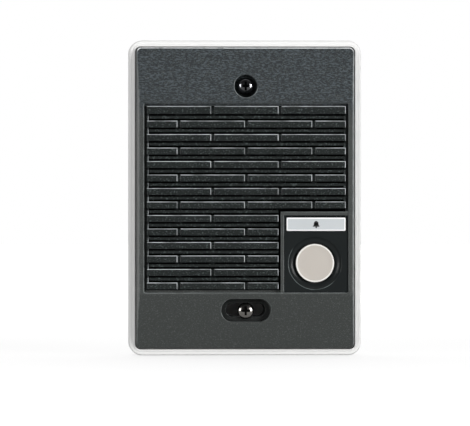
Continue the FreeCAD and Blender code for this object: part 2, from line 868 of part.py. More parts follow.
def speaker_surround():
    """The roll between the cone and the frame, with a flat lap over each of them."""
    half = surround_width / 2 - surround_gap
    middle = cone_outer_radius + surround_width / 2
    centre = at(speaker_x, cone_front, speaker_z)
    outer = Part.makeTorus(middle, half, centre, FORWARD)
    inner = Part.makeTorus(middle, half - surround_wall, centre, FORWARD)
    behind = disc(speaker_x, speaker_z, speaker_radius, flange_back - overcut, cone_front)
    front = cone_front + surround_wall
    frame_lap = ring(speaker_x, speaker_z, speaker_radius - gasket_width, middle + half - surround_wall,
                     cone_front, front)
    cone_lap = ring(speaker_x, speaker_z, middle - half + surround_wall, cone_outer_radius - surround_lap,
                    cone_front, front)
    return joined([outer.cut(inner).common(behind), frame_lap, cone_lap])


def speaker_cone():
    profile = [(cone_outer_radius, cone_front), (cone_outer_radius, cone_front - cone_wall),
               (cone_foot_radius, cone_foot_depth - cone_wall), (cone_foot_radius, cone_foot_depth)]
    return turned(speaker_x, speaker_z, profile)


def dust_cap():
    """The domed cap glued over the mouth of the voice coil."""
    base = cone_foot_depth + (dust_cap_radius - cone_foot_radius) * cone_slope
    radius = (dust_cap_radius ** 2 + dust_cap_rise ** 2) / (2 * dust_cap_rise)
    centre = at(speaker_x, base + dust_cap_rise - radius, speaker_z)
    shell = Part.makeSphere(radius, centre).cut(Part.makeSphere(radius - surround_wall, centre))
    return shell.common(disc(speaker_x, speaker_z, dust_cap_radius, base, base + dust_cap_rise + overcut))


def voice_coil():
    return ring(speaker_x, speaker_z, coil_radius, coil_radius - coil_wall,
                cone_foot_depth - coil_length, cone_foot_depth)


def speaker_top_plate():
    front = basket_foot_depth - sheet_thickness
    return ring(speaker_x, speaker_z, basket_foot_radius, coil_radius + coil_air_gap, top_plate_back, front)


def speaker_magnet():
    return ring(speaker_x, speaker_z, magnet_radius, magnet_bore_radius, magnet_back, top_plate_back)


def speaker_yoke():
    plate = disc(speaker_x, speaker_z, basket_foot_radius, yoke_back, magnet_back)
    pole = disc(speaker_x, speaker_z, pole_radius, yoke_back, basket_foot_depth - sheet_thickness)
    plate = rounded(plate, plate_edge_radius, lies_at(yoke_back))
    return joined([plate, pole])


def speaker_clips():
    clips = []
    for x, z, angle in clip_places():
        clip = block(x - clip_length + clip_reach, x + clip_reach, flange_back - clip_thickness, flange_back,
                     z - clip_width / 2, z + clip_width / 2)
        clip = rounded(clip, clip_corner_radius, runs_forward)
        clip.rotate(at(x, 0, z), FreeCAD.Vector(0, 1, 0), -angle)
        clips.append(clip.cut(disc(x, z, board_screw_radius, 0, total_depth)))
    return Part.makeCompound(clips)


def speaker_screws():
    seat = flange_back - clip_thickness
    return Part.makeCompound([
        pan_screw(x, z, seat, small_screw_head_radius, small_screw_head, board_screw_radius,
                  clip_screw_length, -1)
        for x, z, _ in clip_places()])


def board_screws():
    return Part.makeCompound([
        pan_screw(x, z, board_back_depth, small_screw_head_radius, small_screw_head, board_screw_radius,
                  board_screw_length, -1)
        for x, z in board_screw_places()])


def strip_places():
    """The two lugs of the speaker's terminal strip, on the back of its flange."""
    a = math.radians(strip_angle)
    radius = basket_mouth_radius + sheet_thickness + strip_width / 2
    x, z = speaker_x + radius * math.cos(a), speaker_z + radius * math.sin(a)
    dx, dz = -math.sin(a) * lug_pitch / 2, math.cos(a) * lug_pitch / 2
    return (x, z), ((x - dx, z - dz), (x + dx, z + dz))


def speaker_terminal_strip():
    (x, z), _ = strip_places()
    strip = block(x - strip_width / 2, x + strip_width / 2, flange_back - strip_thickness, flange_back,
                  z - strip_length / 2, z + strip_length / 2)
    strip.rotate(at(x, 0, z), FreeCAD.Vector(0, 1, 0), -strip_angle)
    return strip


def speaker_lugs():
    front = flange_back - strip_thickness
    return Part.makeCompound([disc(x, z, lug_radius, front - lug_height, front)
                              for x, z in strip_places()[1]])


def speaker_lead(index):
    """An insulated lead from a lug of the speaker down to its pad on the board."""
    x, z = strip_places()[1][index]
    pad_x, pad_z = lead_pads[index]
    start = flange_back - strip_thickness - lug_height
    points = [at(x, start, z), at(x, start - lead_drop, z),
              at(pad_x, board_front_depth + lead_lift, pad_z), at(pad_x, board_front_depth, pad_z)]
    lead, length = sweep(points, lead_radius, lead_bend)
    ratio = lead.Volume / (math.pi * lead_radius ** 2 * length)
    print("lead", index, "length", round(length, 2), "volume over section times length", round(ratio, 3))
    return lead


def transformer_core():
    """The laminated frame, whose middle leg the bobbin goes round."""
    x, z = transformer_x, transformer_z
    d0 = board_front_depth + bobbin_base
    core = block(x - core_length / 2, x + core_length / 2, d0, d0 + core_height,
                 z - core_stack / 2, z + core_stack / 2)
    windows = []
    for side in (-1, 1):
        x0, x1 = sorted((x + side * core_centre_leg / 2, x + side * (core_length / 2 - core_leg)))
        windows.append(block(x0, x1, d0 + core_leg, d0 + core_height - core_leg,
                             z - core_stack, z + core_stack))
    return less(core, windows)


def transformer_sleeve(reach_x, reach_z, d0, d1, inner_x, inner_z):
    x, z = transformer_x, transformer_z
    outer = slab(2 * reach_x, 2 * reach_z, winding_corner_radius, d0, d1, x, z)
    return outer.cut(block(x - inner_x, x + inner_x, d0 - overcut, d1 + overcut, z - inner_z, z + inner_z))


def bobbin_sizes():
    low = board_front_depth + bobbin_base + core_leg + bobbin_fit
    high = board_front_depth + bobbin_base + core_height - core_leg - bobbin_fit
    inner_x, inner_z = core_centre_leg / 2 + bobbin_fit, core_stack / 2 + bobbin_fit
    reach_x = core_length / 2 - core_leg - bobbin_fit
    return low, high, inner_x, inner_z, reach_x, bobbin_length / 2


def transformer_bobbin():
    low, high, inner_x, inner_z, reach_x, reach_z = bobbin_sizes()
    wall = bobbin_wall
    tube = transformer_sleeve(inner_x + wall, inner_z + wall, low, high, inner_x, inner_z)
    flanges = [transformer_sleeve(reach_x, reach_z, d, d + wall, inner_x, inner_z)
               for d in (low, high - wall)]
    base = block(transformer_x - core_length / 2, transformer_x + core_length / 2, board_front_depth,
                 board_front_depth + bobbin_base, transformer_z - reach_z, transformer_z + reach_z)
    feet = [block(transformer_x - reach_x, transformer_x + reach_x, board_front_depth, low + wall,
                  transformer_z + side * reach_z - (wall if side > 0 else 0),
                  transformer_z + side * reach_z + (0 if side > 0 else wall)) for side in (-1, 1)]
    return joined([tube, base] + flanges + feet)


def transformer_winding():
    low, high, inner_x, inner_z, reach_x, reach_z = bobbin_sizes()
    wall = bobbin_wall
    return transformer_sleeve(reach_x - winding_gap, reach_z - wall - winding_gap, low + wall, high - wall,
                              inner_x + wall, inner_z + wall)


def groove_ring(x, z, foot):
    outer = disc(x, z, capacitor_radius + overcut, foot + capacitor_groove_low, foot + capacitor_groove_high)
    return outer.cut(disc(x, z, capacitor_radius - capacitor_groove, foot, foot + capacitor_height))


def capacitors():
    """Upright cans with the rolled groove near their foot."""
    cans = []
    foot = board_front_depth
    for x, z in capacitor_places:
        can = disc(x, z, capacitor_radius, foot, foot + capacitor_height)
        can = rounded(can, capacitor_edge_radius, lies_at(foot + capacitor_height))
        cans.append(can.cut(groove_ring(x, z, foot)))
    return Part.makeCompound(cans)


def film_capacitor():
    body = block(film_x - film_length / 2, film_x + film_length / 2, board_front_depth,
                 board_front_depth + film_height, film_z - film_width / 2, film_z + film_width / 2)
    return rounded(body, film_edge_radius, runs_forward)


def axial(x, z, radius, length):
    """A small round component lying along Z, with its wires bent down through the board."""
    depth = board_front_depth + radius + component_lift
    body = Part.makeCylinder(radius, length, at(x, depth, z - length / 2), FreeCAD.Vector(0, 0, 1))
    body = rounded(body, radius * component_edge_share, lambda e: isinstance(e.Curve, Part.Circle))
    reach = length / 2 + component_wire_reach - component_wire
    back = board_back_depth - component_tail
    points = [at(x, back, z - reach), at(x, depth, z - reach),
              at(x, depth, z + reach), at(x, back, z + reach)]
    wire, _ = sweep(points, component_wire, component_bend)
    return joined([body, wire])


def resistors():
    return Part.makeCompound([axial(x, z, resistor_radius, resistor_length) for x, z in resistor_places])


def diodes():
    return Part.makeCompound([axial(x, z, diode_radius, diode_length) for x, z in diode_places])


def cover_screws():
    return Part.makeCompound([
        pan_screw(x, z, cover_screw_seat_depth, cover_screw_head_radius, cover_screw_head,
                  cover_screw_radius, cover_screw_length, -1)
        for x, z in corners(cover_screw_x, cover_screw_z)])


def mounting_screw(z):
    """Bare inside the station, with a thicker stretch past the wall plane that stands for its thread."""
    bare = pan_screw(0, z, seat_depth, mounting_screw_head_radius, mounting_screw_head,
                     mounting_shank_radius, seat_depth + mounting_screw_reach / 2, 1)
    thread = disc(0, z, mounting_screw_radius, -mounting_screw_reach, 0)
    thread = thread.makeChamfer(mounting_screw_radius * tip_chamfer_share,
                                edges_where(thread, lies_at(-mounting_screw_reach)))
    return joined([bare, thread])


def write(name, shape):
    shape.exportStep(f"parts/{name}.step")
    print(name, len(shape.Solids), round(shape.Volume, 1), shape.isValid())


os.makedirs("parts", exist_ok=True)
write("back_base", back_base())
write("front_cover", front_cover())
write("louvre_grille", louvre_grille())
write("cover_seal", cover_seal())
write("button_panel", button_panel())
write("name_label", name_label())
write("call_button", call_button())
write("button_spring", button_spring())
write("switch_body", switch_body())
write("switch_plunger", switch_plunger())
write("switch_pins", switch_pins())
write("circuit_board", circuit_board())
write("board_screws", board_screws())
write("terminal_block", terminal_block())
write("terminal_screws", terminal_screws())
write("terminal_clamps", terminal_clamps())
write("dust_screen", dust_screen())
write("speaker_gasket", speaker_gasket())
write("speaker_frame", speaker_frame())
write("speaker_surround", speaker_surround())
write("speaker_cone", speaker_cone())
write("dust_cap", dust_cap())
write("voice_coil", voice_coil())
write("speaker_top_plate", speaker_top_plate())
write("speaker_magnet", speaker_magnet())
write("speaker_yoke", speaker_yoke())
write("speaker_clips", speaker_clips())
write("speaker_screws", speaker_screws())
write("speaker_terminal_strip", speaker_terminal_strip())
write("speaker_lugs", speaker_lugs())
write("speaker_lead_red", speaker_lead(0))
write("speaker_lead_black", speaker_lead(1))
write("transformer_core", transformer_core())
write("transformer_bobbin", transformer_bobbin())
write("transformer_winding", transformer_winding())
write("capacitors", capacitors())
write("film_capacitor", film_capacitor())
write("resistors", resistors())
write("diodes", diodes())
write("cover_screws", cover_screws())
write("mounting_screw_upper", mounting_screw(well_z))
write("mounting_screw_lower", mounting_screw(screw_lower_z))
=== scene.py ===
import json
import math

import bpy
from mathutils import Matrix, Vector


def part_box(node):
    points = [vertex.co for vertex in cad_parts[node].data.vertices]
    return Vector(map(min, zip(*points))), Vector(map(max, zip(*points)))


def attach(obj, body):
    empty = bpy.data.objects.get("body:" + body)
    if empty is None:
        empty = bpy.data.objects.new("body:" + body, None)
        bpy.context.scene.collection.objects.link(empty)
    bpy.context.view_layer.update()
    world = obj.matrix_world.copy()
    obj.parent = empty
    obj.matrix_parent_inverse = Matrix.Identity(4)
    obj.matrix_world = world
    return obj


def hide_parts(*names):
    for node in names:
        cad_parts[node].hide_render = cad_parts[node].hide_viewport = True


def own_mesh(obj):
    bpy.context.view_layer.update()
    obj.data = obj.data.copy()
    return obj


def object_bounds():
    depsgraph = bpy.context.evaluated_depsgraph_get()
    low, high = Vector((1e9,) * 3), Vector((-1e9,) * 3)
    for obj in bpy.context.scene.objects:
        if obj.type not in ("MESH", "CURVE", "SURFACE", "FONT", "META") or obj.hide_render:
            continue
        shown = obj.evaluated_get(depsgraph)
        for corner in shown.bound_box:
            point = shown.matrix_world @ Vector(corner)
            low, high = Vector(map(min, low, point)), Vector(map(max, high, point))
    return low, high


MM = 0.001

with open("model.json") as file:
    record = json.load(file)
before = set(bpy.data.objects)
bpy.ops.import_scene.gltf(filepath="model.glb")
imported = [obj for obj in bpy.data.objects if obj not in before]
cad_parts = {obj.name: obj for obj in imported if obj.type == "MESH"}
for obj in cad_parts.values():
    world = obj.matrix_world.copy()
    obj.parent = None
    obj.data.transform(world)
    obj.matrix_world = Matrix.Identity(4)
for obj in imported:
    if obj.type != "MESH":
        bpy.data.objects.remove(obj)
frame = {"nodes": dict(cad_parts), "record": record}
cad_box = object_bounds()

# The photograph's frame: its size in pixels, the real size of a pixel, and where the station's centre is
photo_width = 470
photo_height = 426
pixel = 0.3724 * MM
centre_px = (245.1, 197.95)
rim_depth = 16.5 * MM
camera_azimuth = -2.2
camera_elevation = 0.5
camera_distance = 2.4
sensor_width = 36.0

# Places that the new pieces and the finishes share with the frame
upper_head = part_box("mounting_screw_upper")
lower_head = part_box("mounting_screw_lower")
button_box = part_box("call_button")
label_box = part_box("name_label")
cover_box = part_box("front_cover")
grille_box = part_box("louvre_grille")
well_radius = 4.3 * MM
slot_well_length = 18.4 * MM
bar_foot_depth = 26.7 * MM
slot_floor_depth = 25.6 * MM
first_bar_top = 33.7 * MM
bar_pitch = 5.0 * MM

merge_distance = 0.002 * MM
facing_front = (math.radians(90), 0, 0)


# Selecting and shaping

def begin():
    """Leaves edit mode and deselects everything, so that the next primitive is alone."""
    if bpy.context.object and bpy.context.object.mode != "OBJECT":
        bpy.ops.object.mode_set(mode="OBJECT")
    bpy.ops.object.select_all(action="DESELECT")


def alone(*pieces):
    """Selects only these pieces, the first of them active."""
    begin()
    for piece in pieces:
        piece.select_set(True)
    bpy.context.view_layer.objects.active = pieces[0]


def named(name):
    """Names what was added or joined last."""
    piece = bpy.context.object
    piece.name = name
    piece.data.name = name
    return piece


def placed_in_mesh():
    """Moves the selected piece's place, turn and size into its mesh."""
    bpy.ops.object.transform_apply(location=True, rotation=True, scale=True)


def select_where(piece, kind, rule):
    """Enters edit mode with only those points, edges or faces selected that keep to a rule."""
    bpy.ops.object.mode_set(mode="EDIT")
    bpy.ops.mesh.select_mode(type=kind)
    bpy.ops.mesh.select_all(action="DESELECT")
    bpy.ops.object.mode_set(mode="OBJECT")
    mesh = piece.data
    for element in {"VERT": mesh.vertices, "EDGE": mesh.edges, "FACE": mesh.polygons}[kind]:
        element.select = rule(element)
    bpy.ops.object.mode_set(mode="EDIT")


def settled(piece, angle=35.0):
    """Places the piece in its mesh, closes it, turns its faces outwards and smooths its round stretches."""
    alone(piece)
    placed_in_mesh()
    bpy.ops.object.mode_set(mode="EDIT")
    bpy.ops.mesh.select_all(action="SELECT")
    bpy.ops.mesh.remove_doubles(threshold=merge_distance)
    bpy.ops.mesh.normals_make_consistent(inside=False)
    bpy.ops.object.mode_set(mode="OBJECT")
    bpy.ops.object.shade_smooth_by_angle(angle=math.radians(angle))
    return piece


def with_modifier(piece, kind, **values):
    """Adds one modifier to the piece and applies it."""
    alone(piece)
    bpy.ops.object.modifier_add(type=kind)
    modifier = piece.modifiers[-1]
    for key, value in values.items():
        setattr(modifier, key, value)
    bpy.ops.object.modifier_apply(modifier=modifier.name)


def cut_away(piece, cutter):
    """Cuts the cutter's shape out of the piece, and drops the cutter."""
    with_modifier(piece, "BOOLEAN", operation="DIFFERENCE", solver="EXACT", object=cutter)
    bpy.data.objects.remove(cutter)
    settled(piece)


def centre_line(low, high):
    """Where the line along Y through a box's middle lies in X and Z."""
    return (low.x + high.x) / 2, (low.z + high.z) / 2


def lathed(name, x, z, steps, sides):
    """A round piece drawn forward from (radius, depth) steps in millimetres, closed at both ends."""
    radius, depth = steps[0]
    begin()
    bpy.ops.mesh.primitive_circle_add(vertices=sides, radius=radius * MM, fill_type="NGON",
                                      location=(x, -depth * MM, z), rotation=facing_front)
    piece = named(name)
    bpy.ops.object.mode_set(mode="EDIT")
    bpy.ops.mesh.select_all(action="SELECT")
    for new_radius, new_depth in steps[1:]:
        bpy.ops.mesh.extrude_region_move(TRANSFORM_OT_translate={"value": (0, (depth - new_depth) * MM, 0)})
        ratio = new_radius / radius
        bpy.ops.transform.resize(value=(ratio, 1, ratio), center_override=(x, -new_depth * MM, z))
        radius, depth = new_radius, new_depth
    return settled(piece)


# Nodes, and the sums and mixes that the finishes are made of

def feed(tree, socket, value):
    """Links a socket to what another node gives, or sets it to a plain value."""
    if isinstance(value, bpy.types.NodeSocket):
        tree.links.new(value, socket)
    elif socket.type == "RGBA":
        socket.default_value = (*value, 1.0)
    else:
        socket.default_value = value


def node(tree, kind, *values, settings=None, **sockets):
    """A node with its settings. Values feed its sockets in order, where None passes one over, or by name."""
    made = tree.nodes.new(kind)
    for key, value in (settings or {}).items():
        setattr(made, key, value)
    for socket, value in zip(made.inputs, values):
        if value is not None:
            feed(tree, socket, value)
    for label, value in sockets.items():
        feed(tree, made.inputs[label.replace("_", " ")], value)
    return made


def maths(tree, operation, *values, clamp=False):
    """The result of one sum."""
    settings = {"operation": operation, "use_clamp": clamp}
    return node(tree, "ShaderNodeMath", *values, settings=settings).outputs[0]


def vectors(tree, operation, *values, gives="Vector", **sockets):
    """The result of one sum on vectors."""
    settings = {"operation": operation}
    return node(tree, "ShaderNodeVectorMath", *values, settings=settings, **sockets).outputs[gives]


def ramp(tree, value, start, end, low=0.0, high=1.0, curve="LINEAR"):
    """Goes from low to high as the value goes from start to end."""
    settings = {"interpolation_type": curve}
    spread = node(tree, "ShaderNodeMapRange", value, start, end, low, high, settings=settings)
    return spread.outputs["Result"]


def soft_ramp(tree, value, start, end, low=0.0, high=1.0):
    """A ramp with soft ends."""
    return ramp(tree, value, start, end, low, high, "SMOOTHSTEP")


def between(tree, share, first, second):
    """A number that goes from the first to the second with the share."""
    return node(tree, "ShaderNodeMix", share, None, first, second).outputs[0]


def mixed(tree, share, first, second):
    """A colour that goes from the first to the second with the share."""
    mix = node(tree, "ShaderNodeMix", share, settings={"data_type": "RGBA"})
    feed(tree, mix.inputs[6], first)
    feed(tree, mix.inputs[7], second)
    return mix.outputs[2]


def own_place(tree):
    """The place on the piece, in metres."""
    return node(tree, "ShaderNodeTexCoord").outputs["Object"]


def own_axes(tree):
    """The place on the piece, axis by axis."""
    return node(tree, "ShaderNodeSeparateXYZ", own_place(tree)).outputs


def facing_axes(tree):
    """The way the surface faces, axis by axis."""
    normal = node(tree, "ShaderNodeNewGeometry").outputs["Normal"]
    return node(tree, "ShaderNodeSeparateXYZ", normal).outputs


def sized_noise(tree, size, detail, stretch=None, **sockets):
    """Noise whose features are about size metres across, on the piece's own coordinates."""
    place = own_place(tree)
    if stretch:
        place = node(tree, "ShaderNodeMapping", Vector=place, Scale=stretch).outputs["Vector"]
    scale = maths(tree, "DIVIDE", 1.0, size)
    noise = node(tree, "ShaderNodeTexNoise", Vector=place, Scale=scale, Detail=detail, **sockets)
    return noise.outputs["Fac"]


# Groups of nodes that several finishes share

def new_group(name, inputs, outputs):
    """A group, with what it is given and what it gives out."""
    group = bpy.data.node_groups.new(name, "ShaderNodeTree")
    for label, kind, value in inputs:
        socket = group.interface.new_socket(label, in_out="INPUT", socket_type="NodeSocket" + kind)
        socket.default_value = value
    for label, kind in outputs:
        group.interface.new_socket(label, in_out="OUTPUT", socket_type="NodeSocket" + kind)
    return group, group.nodes.new("NodeGroupInput").outputs, group.nodes.new("NodeGroupOutput").inputs


def tone_drift_group():
    """Slow drift of a colour, lighter and darker, as moulded and painted surfaces have."""
    group, given, out = new_group(
        "tone_drift",
        [("Color", "Color", (0.5, 0.5, 0.5, 1)), ("Amount", "Float", 0.1), ("Size", "Float", 0.01)],
        [("Color", "Color")])
    centred = maths(group, "SUBTRACT", sized_noise(group, given["Size"], 3.0), 0.5)
    doubled = maths(group, "MULTIPLY", centred, 2.0)
    share = maths(group, "MULTIPLY_ADD", doubled, given["Amount"], 1.0)
    group.links.new(vectors(group, "SCALE", given["Color"], Scale=share), out["Color"])
    return group


def moulded_grain_group():
    """The height of a spark-eroded mould's grain: soft pits with finer grit between them."""
    group, given, out = new_group(
        "moulded_grain", [("Size", "Float", 0.0005), ("Grit", "Float", 0.3)],
        [("Height", "Float"), ("Fleck", "Float")])
    coarse = sized_noise(group, given["Size"], 2.0, (1.0, 1.0, 1.5))
    fine = sized_noise(group, maths(group, "MULTIPLY", given["Size"], 0.35), 2.0)
    group.links.new(maths(group, "MULTIPLY_ADD", fine, given["Grit"], coarse), out["Height"])
    group.links.new(soft_ramp(group, coarse, 0.54, 0.70), out["Fleck"])
    return group


def handled_gloss_group():
    """Roughness with faint patches where hands and cloths have polished or dulled it."""
    group, given, out = new_group(
        "handled_gloss", [("Roughness", "Float", 0.5), ("Amount", "Float", 0.1), ("Size", "Float", 0.012)],
        [("Roughness", "Float")])
    spread = ramp(group, sized_noise(group, given["Size"], 4.0), 0.3, 0.7, -1.0)
    rough = maths(group, "MULTIPLY_ADD", spread, given["Amount"], given["Roughness"], clamp=True)
    group.links.new(rough, out["Roughness"])
    return group


def settled_dust_group():
    """A thin pale dust that lies on faces that look up."""
    group, given, out = new_group(
        "settled_dust", [("Color", "Color", (0.5, 0.5, 0.5, 1)), ("Dust", "Color", (0.5, 0.49, 0.46, 1)),
                         ("Amount", "Float", 0.1)], [("Color", "Color")])
    speck_size = 1.2 * MM
    facing_up = soft_ramp(group, facing_axes(group)["Z"], 0.2, 0.9)
    amount = maths(group, "MULTIPLY", facing_up, sized_noise(group, speck_size, 6.0))
    amount = maths(group, "MULTIPLY", amount, given["Amount"])
    group.links.new(mixed(group, amount, given["Color"], given["Dust"]), out["Color"])
    return group


def drawn_lines_group():
    """The height of fine parallel lines, as brushing, drawing or turning leaves on metal."""
    group, given, out = new_group(
        "drawn_lines", [("Along", "Vector", (1.0, 40.0, 40.0)), ("Size", "Float", 0.002)],
        [("Height", "Float")])
    place = vectors(group, "MULTIPLY", own_place(group), given["Along"])
    scale = maths(group, "DIVIDE", 1.0, given["Size"])
    lines = node(group, "ShaderNodeTexNoise", Vector=place, Scale=scale, Detail=3.0).outputs["Fac"]
    group.links.new(lines, out["Height"])
    return group


def weave_group():
    """The height of a plain weave, whose threads go over and under in the plane of the front."""
    group, given, out = new_group("plain_weave", [("Pitch", "Float", 0.0004)], [("Height", "Float")])
    axes = own_axes(group)
    waves = []
    for axis in ("X", "Z"):
        turns = maths(group, "DIVIDE", axes[axis], given["Pitch"])
        waves.append(maths(group, "SINE", maths(group, "MULTIPLY", turns, math.tau)))
    group.links.new(maths(group, "MULTIPLY", *waves), out["Height"])
    return group


def edge_highlight_group():
    """Where a front face rounds over to an upper or right-hand side, towards the lamps: a patchy mask for a
    painted highlight.
    """
    group, given, out = new_group(
        "edge_highlight", [("Patches", "Float", 0.002), ("Lower", "Float", 0.06)], [("Mask", "Float")])
    facing = facing_axes(group)
    square = maths(group, "ABSOLUTE", facing["Y"])
    from_side = soft_ramp(group, square, 0.10, 0.30)
    from_front = soft_ramp(group, square, 0.87, 0.80)
    # Faces that lean up or to the right face the lamps and take the painted highlight most
    lean = maths(group, "MULTIPLY_ADD", facing["X"], 0.8, facing["Z"])
    upper = soft_ramp(group, lean, 0.0, 0.3, given["Lower"])
    highlight_patches = ramp(group, sized_noise(group, given["Patches"], 3.0), 0.35, 0.6, 0.35)
    mask = from_side
    for share in (from_front, upper, highlight_patches):
        mask = maths(group, "MULTIPLY", mask, share)
    group.links.new(mask, out["Mask"])
    return group


def leather_group():
    """The height of a coarse leather grain, long soft ripples that cross the moulding, and its crests."""
    group, given, out = new_group(
        "leather", [("Size", "Float", 0.001)], [("Height", "Float"), ("Crest", "Float")])
    ripples = sized_noise(group, given["Size"], 2.5, (0.52, 1.0, 1.40), Roughness=0.6, Distortion=0.3)
    group.links.new(ripples, out["Height"])
    group.links.new(soft_ramp(group, ripples, 0.46, 0.66), out["Crest"])
    return group


groups = {
    "tone": tone_drift_group(), "grain": moulded_grain_group(), "gloss": handled_gloss_group(),
    "dust": settled_dust_group(), "lines": drawn_lines_group(), "weave": weave_group(),
    "edges": edge_highlight_group(), "leather": leather_group(),
}


def effect(tree, name, **sockets):
    """What a shared group gives, placed in a finish with its own values."""
    return node(tree, "ShaderNodeGroup", settings={"node_tree": groups[name]}, **sockets).outputs


# Masks that find a place on the front

def middle_of(box):
    return (box[0] + box[1]) / 2


def round_border(tree, middle, radius, blur):
    """One outside a circle drawn on the front, nought inside it."""
    away = vectors(tree, "SUBTRACT", own_place(tree), middle)
    flat = vectors(tree, "MULTIPLY", away, (1, 0, 1))
    reach = vectors(tree, "LENGTH", flat, gives="Value")
    return soft_ramp(tree, reach, radius - blur, radius + blur)


def oblong_border(tree, low, high, inset, corner, blur):
    """One outside an oblong with rounded corners on the front, nought inside it."""
    axes = own_axes(tree)
    reaches = []
    for axis, start, end in (("X", low.x, high.x), ("Z", low.z, high.z)):
        away = maths(tree, "ABSOLUTE", maths(tree, "SUBTRACT", axes[axis], (start + end) / 2))
        away = maths(tree, "SUBTRACT", away, (end - start) / 2 - inset - corner)
        reaches.append(maths(tree, "MAXIMUM", away, 0.0))
    flat = node(tree, "ShaderNodeCombineXYZ", X=reaches[0], Z=reaches[1]).outputs[0]
    reach = vectors(tree, "LENGTH", flat, gives="Value")
    return soft_ramp(tree, reach, corner - blur, corner + blur)


def label_border(tree):
    """The near-white band round the label plate's edge."""
    return oblong_border(tree, *label_box, 0.50 * MM, 0.20 * MM, 0.05 * MM)


def button_rim(tree):
    """The button's rim, where a near-white painted highlight lies."""
    return round_border(tree, middle_of(button_box), 6.52 * MM, 0.06 * MM)


def beyond_dish(tree):
    """The panel outside the dish round the button."""
    return round_border(tree, middle_of(button_box), 9.72 * MM, 0.05 * MM)


def button_shade(tree):
    """Painted shade down the gap round the button, on its side and its collar."""
    front = button_box[0].y
    return ramp(tree, own_axes(tree)["Y"], front + 1.2 * MM, front + 0.4 * MM, 0.04)


def panel_shade(tree):
    """Painted shade in the gap round the label and down the guide round the button."""
    off_label = oblong_border(tree, *label_box, -0.40 * MM, 0.60 * MM, 0.06 * MM)
    off_button = round_border(tree, middle_of(button_box), 7.70 * MM, 0.12 * MM)
    return ramp(tree, maths(tree, "MULTIPLY", off_label, off_button), 0.0, 1.0, 0.12)


def louvre_shade(tree):
    """Painted shade: black down in the slots, darker deeper behind the field, and a dark line on the field at
    the foot of each bar and in the strip under it.
    """
    axes = own_axes(tree)
    hollow = soft_ramp(tree, axes["Y"], -bar_foot_depth, -slot_floor_depth, 1.0, 0.12)
    rows = maths(tree, "DIVIDE", maths(tree, "SUBTRACT", axes["Z"], first_bar_top), bar_pitch)
    row_share = maths(tree, "FRACT", rows)
    off_foot = soft_ramp(tree, row_share, 0.13, 0.19, 0.04)
    on_bar = ramp(tree, axes["Y"], -bar_foot_depth - 0.1 * MM, -bar_foot_depth, 1.0, 0.0)
    over_slot = ramp(tree, row_share, 0.50, 0.54)
    under_slot = ramp(tree, row_share, 0.36, 0.33)
    off_slot = ramp(tree, maths(tree, "MAXIMUM", over_slot, under_slot), 0.0, 1.0, 0.25)
    shade = maths(tree, "MULTIPLY", hollow, maths(tree, "MAXIMUM", off_foot, on_bar))
    return maths(tree, "MULTIPLY", shade, off_slot)


def cover_shade(tree):
    """Painted shade down in the two screw wells and on the floor behind the sound slots."""
    upper = round_border(tree, middle_of(upper_head), well_radius - 0.15 * MM, 0.05 * MM)
    reach = Vector((slot_well_length / 2, 0, well_radius))
    middle = middle_of(lower_head)
    lower = oblong_border(tree, middle - reach, middle + reach, 0.15 * MM, well_radius - 0.3 * MM, 0.05 * MM)
    off_wells = ramp(tree, maths(tree, "MULTIPLY", upper, lower), 0.0, 1.0, 0.35)
    in_front = ramp(tree, own_axes(tree)["Y"], -slot_floor_depth, -slot_floor_depth - 0.4 * MM)
    beside = oblong_border(tree, *grille_box, 0.0, 0.3 * MM, 0.05 * MM)
    off_floor = ramp(tree, maths(tree, "MAXIMUM", beside, in_front), 0.0, 1.0, 0.02)
    return maths(tree, "MULTIPLY", off_wells, off_floor)


def seam_shade(tree):
    """A fine line of painted shade on the rim, along the gap to the cover."""
    off_seam = oblong_border(tree, *cover_box, -0.30 * MM, 2.1 * MM, 0.10 * MM)
    behind = ramp(tree, own_axes(tree)["Y"], -14 * MM, -13 * MM)
    return ramp(tree, maths(tree, "MAXIMUM", off_seam, behind), 0.0, 1.0, 0.18)


def recess_shade(box):
    """Painted shade down in a screw's recess."""
    recess_radius = 2.15 * MM
    front = box[0].y

    def mask(tree):
        unshaded = round_border(tree, middle_of(box), recess_radius, 0.05 * MM)
        level = own_axes(tree)["Y"]
        on_crown = ramp(tree, level, front + 0.50 * MM, front + 0.35 * MM)
        under_head = ramp(tree, level, front + 1.6 * MM, front + 1.7 * MM)
        for share in (on_crown, under_head):
            unshaded = maths(tree, "MAXIMUM", unshaded, share)
        return ramp(tree, unshaded, 0.0, 1.0, 0.05)

    return mask


def crisp_line(tree, mask, where):
    """Keeps the painted edge highlight to the shallow part of its round where it is wide, and whole
    elsewhere.
    """
    shallow = ramp(tree, facing_axes(tree)["Y"], -0.30, -0.50)
    share = between(tree, where, 1.0, maths(tree, "MULTIPLY", shallow, 1.7))
    return maths(tree, "MULTIPLY", mask, share, clamp=True)


# Kinds of finish

finishes = {}


def new_finish(name, roughness, metallic=0.0, specular=0.5):
    """A bare finish, kept under its name."""
    finish = bpy.data.materials.new(name)
    finish.use_nodes = True
    finishes[name] = finish
    surface = finish.node_tree.nodes["Principled BSDF"]
    surface.inputs["Roughness"].default_value = roughness
    surface.inputs["Metallic"].default_value = metallic
    surface.inputs["Specular IOR Level"].default_value = specular
    return finish.node_tree, surface


def raised(tree, surface, height, distance):
    """Gives the surface a relief of this distance."""
    bump = node(tree, "ShaderNodeBump", Strength=1.0, Distance=distance, Height=height)
    tree.links.new(bump.outputs["Normal"], surface.inputs["Normal"])


